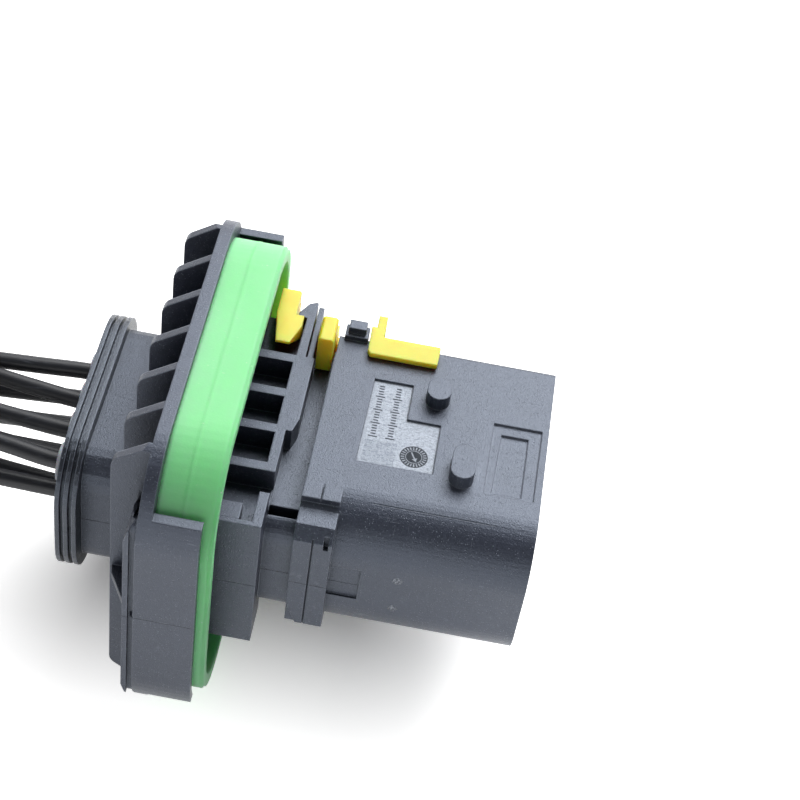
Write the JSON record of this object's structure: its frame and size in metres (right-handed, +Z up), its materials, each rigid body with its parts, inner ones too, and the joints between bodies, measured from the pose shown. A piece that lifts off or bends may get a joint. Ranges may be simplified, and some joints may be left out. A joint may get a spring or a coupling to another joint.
{
  "type": "sealed automotive connector",
  "caption": "Sealed flanged tab connector housing with a flange seal, ribbed flange, slide-in terminal lock and a short loom of sealed wires.",
  "frame": {"origin": "middle of the underside of the flange's box, on the plane that the flange stands on, without the wires", "axes": "+X is the mating axis and points out of the mouth, +Y runs across the flange towards the lock's side, +Z is up"},
  "size_m": [0.1632, 0.0562, 0.048],
  "materials": {
    "housing": "fine matte texture, glass filled",
    "flange_seal": "smooth silicone",
    "lock": "satin",
    "terminal": "tin plated",
    "wire_seal": "smooth silicone",
    "wire": "satin insulation"
  },
  "bodies": {
    "connector": {"housing": "housing", "flange_seal": "flange_seal", "cavity_plug": "wire_seal", "terminal_01": "terminal", "terminal_02": "terminal", "terminal_03": "terminal", "terminal_05": "terminal", "terminal_06": "terminal", "terminal_07": "terminal", "terminal_08": "terminal", "terminal_09": "terminal", "terminal_10": "terminal", "terminal_11": "terminal", "terminal_12": "terminal", "wire_seal_01": "wire_seal", "wire_seal_02": "wire_seal", "wire_seal_03": "wire_seal", "wire_seal_05": "wire_seal", "wire_seal_06": "wire_seal", "wire_seal_07": "wire_seal", "wire_seal_08": "wire_seal", "wire_seal_09": "wire_seal", "wire_seal_10": "wire_seal", "wire_seal_11": "wire_seal", "wire_seal_12": "wire_seal", "wire_01": "wire", "wire_02": "wire", "wire_03": "wire", "wire_05": "wire", "wire_06": "wire", "wire_07": "wire", "wire_08": "wire", "wire_09": "wire", "wire_10": "wire", "wire_11": "wire", "wire_12": "wire"},
    "lock": {"secondary_lock": "lock"}
  },
  "joints": [
    {"name": "lock_slide", "type": "slide", "parent": "connector", "child": "lock", "axis": [0, -1, 0], "range_m": [0, 0.0013]}
  ]
}
